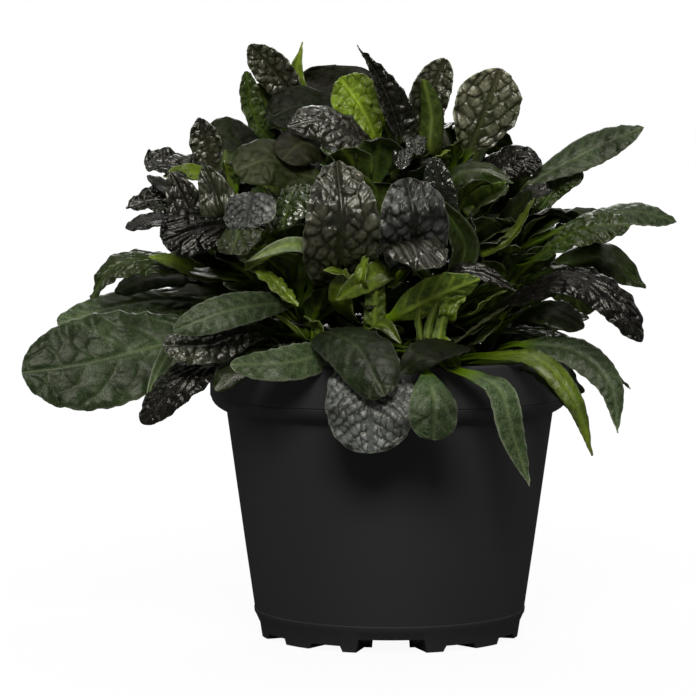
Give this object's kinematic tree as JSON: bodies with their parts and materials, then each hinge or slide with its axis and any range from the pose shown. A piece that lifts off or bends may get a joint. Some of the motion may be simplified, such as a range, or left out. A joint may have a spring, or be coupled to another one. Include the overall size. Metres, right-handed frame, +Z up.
{
  "type": "potted bugleweed",
  "caption": "Bushy bugleweed with quilted spoon-shaped leaves in bronze, green and grey-green, growing in a tapered round nursery pot with a rolled lip and castellated feet.",
  "frame": {"origin": "on the pot's axis, on the plane that the pot's feet stand on (the underside of the small pad in the middle of the pot's floor)", "axes": "+Z up along the pot's axis; +X to the right and -Y towards the viewer of the side on which the silver leaf hangs over the lip"},
  "size_m": [0.3229, 0.2531, 0.2946],
  "materials": {
    "pot_plastic": "satin black moulded plastic",
    "potting_mix": "crumbly bark and peat",
    "stem_green": "smooth fresh green",
    "leaf_bronze": "glossy quilted bronze-green",
    "leaf_purple": "glossy ribbed dark purple",
    "leaf_green": "satin dark green",
    "leaf_sage": "matte speckled grey-green",
    "leaf_silver": "quilted silver-grey",
    "leaf_bright": "bright yellow-green"
  },
  "bodies": {
    "root": {"pot": "pot_plastic", "soil": "potting_mix", "shoot_front": "stem_green", "shoot_right_front": "stem_green", "shoot_left_front": "stem_green", "shoot_right": "stem_green", "shoot_left": "stem_green", "shoot_middle": "stem_green", "shoot_back_left": "stem_green", "shoot_back_right": "stem_green", "shoot_right_back": "stem_green", "leaf_01": "leaf_bronze", "leaf_02": "leaf_green", "leaf_03": "leaf_bronze", "leaf_04": "leaf_bronze", "leaf_05": "leaf_bronze", "leaf_06": "leaf_bronze", "leaf_07": "leaf_bronze", "leaf_08": "leaf_bronze", "leaf_09": "leaf_silver", "leaf_10": "leaf_green", "leaf_11": "leaf_bright", "leaf_12": "leaf_green", "leaf_13": "leaf_green", "leaf_14": "leaf_bronze", "leaf_15": "leaf_bright", "leaf_16": "leaf_bronze", "leaf_17": "leaf_bronze", "leaf_18": "leaf_bronze", "leaf_19": "leaf_bronze", "leaf_20": "leaf_purple", "leaf_21": "leaf_sage", "leaf_22": "leaf_sage", "leaf_23": "leaf_green", "leaf_24": "leaf_green", "leaf_25": "leaf_purple", "leaf_26": "leaf_green", "leaf_27": "leaf_sage", "leaf_28": "leaf_bright", "leaf_29": "leaf_sage", "leaf_30": "leaf_sage", "leaf_31": "leaf_silver", "leaf_32": "leaf_sage", "leaf_33": "leaf_sage", "leaf_34": "leaf_sage", "leaf_35": "leaf_sage", "leaf_36": "leaf_bronze", "leaf_37": "leaf_purple", "leaf_38": "leaf_green", "leaf_39": "leaf_bright", "leaf_40": "leaf_bronze", "leaf_41": "leaf_silver", "leaf_42": "leaf_bronze", "leaf_43": "leaf_green", "leaf_44": "leaf_bright", "leaf_45": "leaf_green", "leaf_46": "leaf_bronze", "leaf_47": "leaf_bronze", "leaf_48": "leaf_sage", "leaf_49": "leaf_green"}
  },
  "joints": []
}
